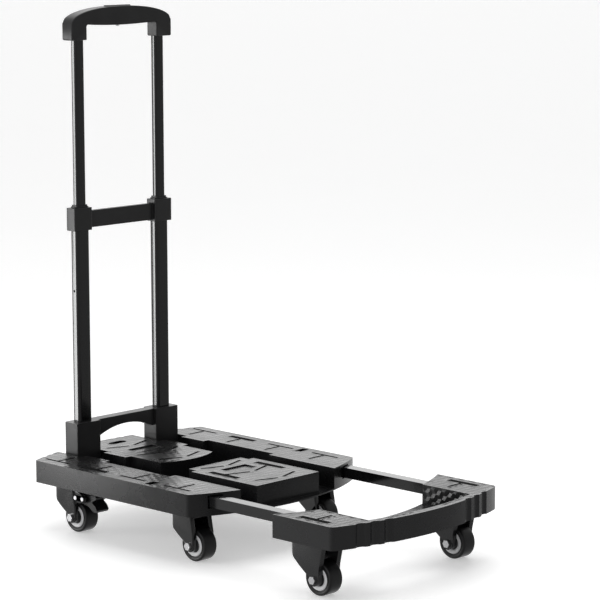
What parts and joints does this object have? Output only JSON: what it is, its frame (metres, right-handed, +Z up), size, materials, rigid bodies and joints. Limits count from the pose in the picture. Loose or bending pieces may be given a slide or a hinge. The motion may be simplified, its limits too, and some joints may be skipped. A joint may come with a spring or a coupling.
{
  "type": "folding luggage cart",
  "caption": "Black folding luggage cart with a grooved moulded deck, sliding front frame, telescopic folding handle and small caster wheels.",
  "frame": {"origin": "on the ground, midway along and across the extended cart (bottom centre of the rest pose's bounding box)", "axes": "+X forwards to the bumper end, +Y to the cart's left, +Z up"},
  "size_m": [0.787, 0.4, 0.9078],
  "materials": {
    "black_moulding": "textured moulding",
    "black_rubber": "matt",
    "tyre_rubber": "satin",
    "grey_plastic": "satin",
    "white_nylon": "satin",
    "zinc_steel": "zinc plated",
    "black_steel": "black painted",
    "black_tube": "glossy black powder coat",
    "black_plastic": "satin",
    "dark_plastic": "satin moulding"
  },
  "bodies": {
    "deck": {"deck_shell": "black_moulding", "wing_covers": "black_moulding", "pad_covers": "black_moulding", "deck_grip_strips": "black_rubber", "rail_guides": "white_nylon", "hinge_pins": "zinc_steel", "cover_screws": "zinc_steel", "caster_screws": "zinc_steel", "caster_plates": "black_steel", "kingpins": "zinc_steel"},
    "bumper": {"front_frame": "black_moulding", "front_rails": "black_tube", "rail_stops": "white_nylon", "front_grip_strips": "black_rubber", "front_screws": "zinc_steel", "front_axles": "zinc_steel"},
    "wheel_front_left": {"hub_front_left": "grey_plastic", "tyre_front_left": "tyre_rubber"},
    "wheel_front_right": {"hub_front_right": "grey_plastic", "tyre_front_right": "tyre_rubber"},
    "handle_lower": {"lower_tubes": "black_tube", "tube_feet": "black_plastic", "mid_connector": "dark_plastic", "guide_bushes": "black_plastic"},
    "sleeve": {"lock_sleeve": "dark_plastic"},
    "handle_upper": {"upper_tubes": "black_tube", "handle_grip": "dark_plastic", "end_bushes": "white_nylon", "grip_screws": "zinc_steel", "button_spring": "zinc_steel"},
    "button": {"release_button": "dark_plastic", "push_rods": "zinc_steel"},
    "pin_left": {"lock_pin_left": "zinc_steel"},
    "pin_right": {"lock_pin_right": "zinc_steel"},
    "caster_rear_left": {"fork_rear_left": "black_moulding", "axle_rear_left": "zinc_steel", "brake_rivets_left": "zinc_steel"},
    "wheel_rear_left": {"hub_rear_left": "grey_plastic", "tyre_rear_left": "tyre_rubber"},
    "brake_left": {"brake_pedal_left": "black_plastic"},
    "caster_rear_right": {"fork_rear_right": "black_moulding", "axle_rear_right": "zinc_steel", "brake_rivets_right": "zinc_steel"},
    "wheel_rear_right": {"hub_rear_right": "grey_plastic", "tyre_rear_right": "tyre_rubber"},
    "brake_right": {"brake_pedal_right": "black_plastic"},
    "caster_mid_left": {"fork_mid_left": "black_moulding", "axle_mid_left": "zinc_steel"},
    "wheel_mid_left": {"hub_mid_left": "grey_plastic", "tyre_mid_left": "tyre_rubber"},
    "caster_mid_right": {"fork_mid_right": "black_moulding", "axle_mid_right": "zinc_steel"},
    "wheel_mid_right": {"hub_mid_right": "grey_plastic", "tyre_mid_right": "tyre_rubber"}
  },
  "joints": [
    {"name": "bumper_slide", "type": "slide", "parent": "deck", "child": "bumper", "axis": [1, 0, 0], "range_m": [-0.178, 0]},
    {"name": "handle_fold", "type": "hinge", "parent": "deck", "child": "handle_lower", "pos_m": [-0.3445, 0, 0.104], "axis": [0, -1, 0], "range_deg": [-90, 0]},
    {"name": "sleeve_slide", "type": "slide", "parent": "handle_lower", "child": "sleeve", "axis": [0, 0, 1], "range_m": [0, 0.143]},
    {"name": "handle_telescope", "type": "slide", "parent": "handle_lower", "child": "handle_upper", "axis": [0, 0, 1], "range_m": [-0.268, 0]},
    {"name": "button_release", "type": "slide", "parent": "handle_upper", "child": "button", "axis": [0, 0, 1], "range_m": [0, 0.003]},
    {"name": "pin_left_out", "type": "slide", "parent": "handle_upper", "child": "pin_left", "axis": [0, 1, 0], "range_m": [0, 0.0024]},
    {"name": "pin_right_out", "type": "slide", "parent": "handle_upper", "child": "pin_right", "axis": [0, -1, 0], "range_m": [0, 0.0024]},
    {"name": "swivel_rear_left", "type": "hinge", "parent": "deck", "child": "caster_rear_left", "pos_m": [-0.3175, 0.148, 0.08], "axis": [0, 0, 1], "continuous": true},
    {"name": "roll_rear_left", "type": "hinge", "parent": "caster_rear_left", "child": "wheel_rear_left", "pos_m": [-0.2905, 0.148, 0.028], "axis": [0, 1, 0], "continuous": true},
    {"name": "brake_left_press", "type": "hinge", "parent": "caster_rear_left", "child": "brake_left", "pos_m": [-0.2815, 0.148, 0.064], "axis": [0, 1, 0], "range_deg": [0, 12]},
    {"name": "swivel_rear_right", "type": "hinge", "parent": "deck", "child": "caster_rear_right", "pos_m": [-0.3175, -0.148, 0.08], "axis": [0, 0, 1], "continuous": true},
    {"name": "roll_rear_right", "type": "hinge", "parent": "caster_rear_right", "child": "wheel_rear_right", "pos_m": [-0.2905, -0.148, 0.028], "axis": [0, 1, 0], "continuous": true},
    {"name": "brake_right_press", "type": "hinge", "parent": "caster_rear_right", "child": "brake_right", "pos_m": [-0.2815, -0.148, 0.064], "axis": [0, 1, 0], "range_deg": [0, 12]},
    {"name": "swivel_mid_left", "type": "hinge", "parent": "deck", "child": "caster_mid_left", "pos_m": [-0.0215, 0.148, 0.08], "axis": [0, 0, 1], "continuous": true},
    {"name": "roll_mid_left", "type": "hinge", "parent": "caster_mid_left", "child": "wheel_mid_left", "pos_m": [0.0055, 0.148, 0.028], "axis": [0, 1, 0], "continuous": true},
    {"name": "swivel_mid_right", "type": "hinge", "parent": "deck", "child": "caster_mid_right", "pos_m": [-0.0215, -0.148, 0.08], "axis": [0, 0, 1], "continuous": true},
    {"name": "roll_mid_right", "type": "hinge", "parent": "caster_mid_right", "child": "wheel_mid_right", "pos_m": [0.0055, -0.148, 0.028], "axis": [0, 1, 0], "continuous": true},
    {"name": "roll_front_left", "type": "hinge", "parent": "bumper", "child": "wheel_front_left", "pos_m": [0.3055, 0.162, 0.028], "axis": [0, 1, 0], "continuous": true},
    {"name": "roll_front_right", "type": "hinge", "parent": "bumper", "child": "wheel_front_right", "pos_m": [0.3055, -0.162, 0.028], "axis": [0, 1, 0], "continuous": true}
  ],
  "couplings": [
    {"joint": "sleeve_slide", "follows": "handle_fold", "m_per_rad": -0.091037},
    {"joint": "handle_telescope", "follows": "handle_fold", "m_per_rad": 0.17061},
    {"joint": "pin_left_out", "follows": "button_release", "ratio": 0.8},
    {"joint": "pin_right_out", "follows": "button_release", "ratio": 0.8}
  ]
}
